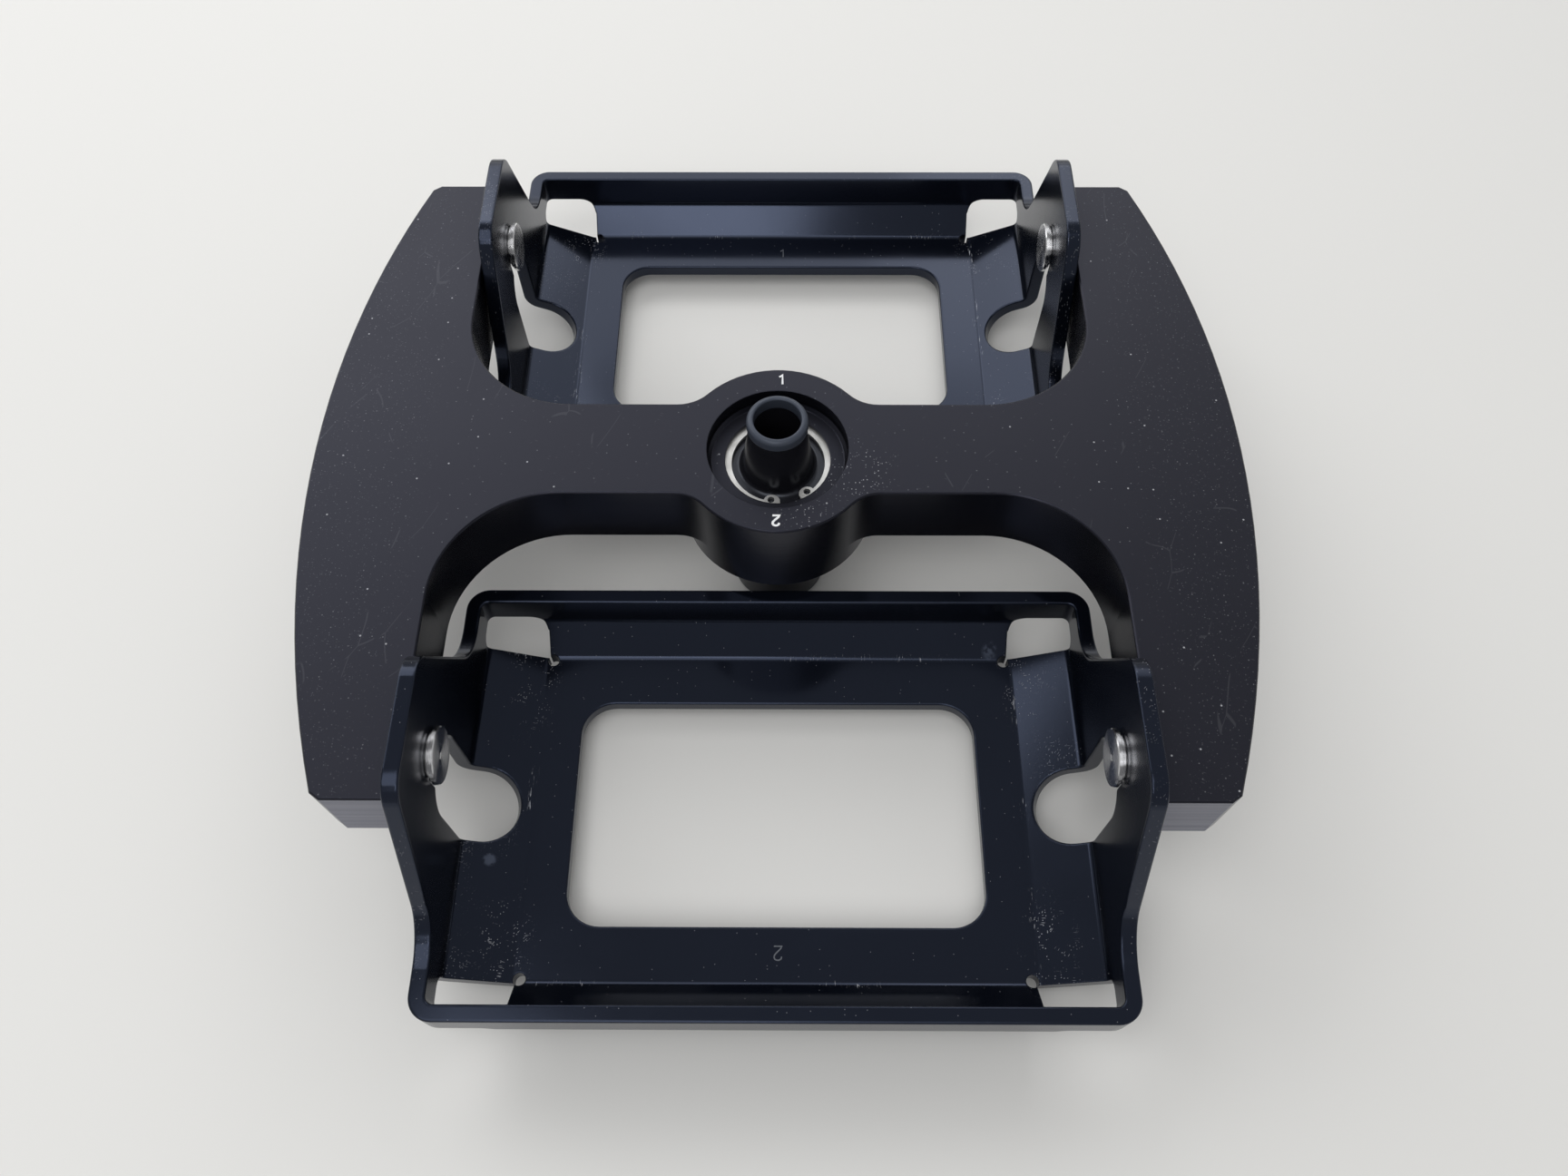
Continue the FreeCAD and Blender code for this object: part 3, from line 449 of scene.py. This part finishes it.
# Figures as strokes: the line that a marking tool follows, in parts of the figure's height, from its middle
STROKES = {
    "1": [(-0.20, 0.24), (-0.06, 0.33), (0.04, 0.44), (0.04, -0.44)],
    "2": [(-0.25, 0.21), (-0.21, 0.35), (-0.10, 0.43), (0.03, 0.44), (0.17, 0.39), (0.24, 0.27), (0.22, 0.13),
          (0.12, 0.0), (-0.04, -0.15), (-0.19, -0.30), (-0.25, -0.44), (0.26, -0.44)],
}


def stroke_sides(path, weight):
    """for each point of the path, the step from it to the stroke's left edge, mitred at corners"""
    sides = []
    for index, point in enumerate(path):
        before = path[max(index - 1, 0)]
        after = path[min(index + 1, len(path) - 1)]
        if 0 < index < len(path) - 1:
            first = (point - before).normalized()
            second = (after - point).normalized()
            mean = (first + second).normalized()
            stretch = 1 / max(mean.dot(first), 1 / MITRE_LIMIT)
        else:
            mean = (after - before).normalized()
            stretch = 1
        sides.append(Vector((-mean.y, mean.x, 0)) * weight / 2 * stretch)
    return sides


def figure(text, name, place, height, weight, turn, finish, body):
    """one marked position number lying on an upward face; weight is its stroke's width"""
    path = [Vector((u * height, v * height, 0)) for u, v in STROKES[text]]
    shape = bmesh.new()
    rows = []
    for point, side in zip(path, stroke_sides(path, weight)):
        rows.append((shape.verts.new(point + side), shape.verts.new(point - side)))
    for (left, right), (next_left, next_right) in zip(rows, rows[1:]):
        shape.faces.new((left, right, next_right, next_left))
    lifted = bmesh.ops.extrude_face_region(shape, geom=list(shape.faces))
    tops = [item for item in lifted["geom"] if isinstance(item, bmesh.types.BMVert)]
    bmesh.ops.translate(shape, verts=tops, vec=(0, 0, MARK_THICK))
    bmesh.ops.recalc_face_normals(shape, faces=shape.faces)
    mesh = bpy.data.meshes.new(name)
    shape.to_mesh(mesh)
    shape.free()
    piece = bpy.data.objects.new(name, mesh)
    bpy.context.scene.collection.objects.link(piece)
    piece.location = place
    piece.rotation_euler = (0, 0, math.radians(turn))
    mesh.materials.append(finish)
    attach(piece, body)


def position_numbers():
    """1 and 2 on the boss, and the same numbers, worn faint, on the carriers' floors"""
    white = print_material("white_marking", PRINT_WHITE, PRINT_CHIPPED)
    faint = print_material("faint_marking", PRINT_WORN, CARRIER_BLACK)
    figure("1", "boss_number_1", BOSS_PLACE_1, 3.6 * MM, 0.55 * MM, 0, white, "yoke")
    figure("2", "boss_number_2", BOSS_PLACE_2, 3.4 * MM, 0.6 * MM, 180, white, "yoke")
    for text, end, turn in (("1", 1, 0), ("2", -1, 180)):
        place = (CARRIER_MARK_X, end * CARRIER_MARK_Y, FLOOR_TOP)
        figure(text, "carrier_number_" + text, place, 3.9 * MM, 0.34 * MM, turn, faint,
               "carrier_" + text)


def make_table():
    """the table that the rotor stands on"""
    mesh = bpy.data.meshes.new("table")
    shape = bmesh.new()
    bmesh.ops.create_grid(shape, x_segments=1, y_segments=1, size=TABLE_HALF)
    shape.to_mesh(mesh)
    shape.free()
    table = bpy.data.objects.new("table", mesh)
    bpy.context.scene.collection.objects.link(table)
    mesh.materials.append(table_material())


def softbox(name, azimuth, elevation, watts, width=1.1):
    """square area lamp that faces the rotor; azimuth in degrees from +Y towards +X"""
    turn, rise = math.radians(azimuth), math.radians(elevation)
    towards = Vector((math.sin(turn) * math.cos(rise), math.cos(turn) * math.cos(rise), math.sin(rise)))
    lamp = bpy.data.lights.new(name, "AREA")
    lamp.shape = "SQUARE"
    lamp.size = width
    lamp.energy = watts
    holder = bpy.data.objects.new(name, lamp)
    holder.location = LAMP_DISTANCE * towards
    holder.rotation_euler = (-towards).to_track_quat("-Z", "Y").to_euler()
    bpy.context.scene.collection.objects.link(holder)


def light_scene():
    """even white surroundings and six lamps, the strongest from behind on the left and from high in front"""
    world = bpy.data.worlds.new("studio")
    world.use_nodes = True
    world.node_tree.nodes["Background"].inputs["Color"].default_value = (1, 1, 1, 1)
    world.node_tree.nodes["Background"].inputs["Strength"].default_value = WORLD_STRENGTH
    bpy.context.scene.world = world
    softbox("key_back_left", -46, 36, 7.6)
    softbox("back_low", 0, 30, 3.0)
    softbox("back_high", -2, 46, 1.9, 0.9)
    softbox("back_right", 24, 40, 1.3, 0.7)
    softbox("front_high", -152, 68, 6.5)
    softbox("front_low", -168, 46, 2.0, 0.5)


def place_camera():
    """the photograph's view"""
    data = bpy.data.cameras.new("photo_camera")
    data.lens = CAMERA_LENS
    data.sensor_width = SENSOR_WIDTH
    data.clip_start = 0.01
    camera = bpy.data.objects.new("photo_camera", data)
    turn = Matrix.Rotation(math.radians(CAMERA_YAW), 4, "Z")
    turn = turn @ Matrix.Rotation(math.radians(CAMERA_TILT), 4, "X")
    turn = turn @ Matrix.Rotation(math.radians(CAMERA_ROLL), 4, "Z")
    camera.matrix_world = Matrix.Translation(CAMERA_PLACE) @ turn
    bpy.context.scene.collection.objects.link(camera)
    bpy.context.scene.camera = camera


dress_cad()
position_numbers()
make_table()
light_scene()
place_camera()
bpy.context.scene.view_settings.view_transform = "Standard"
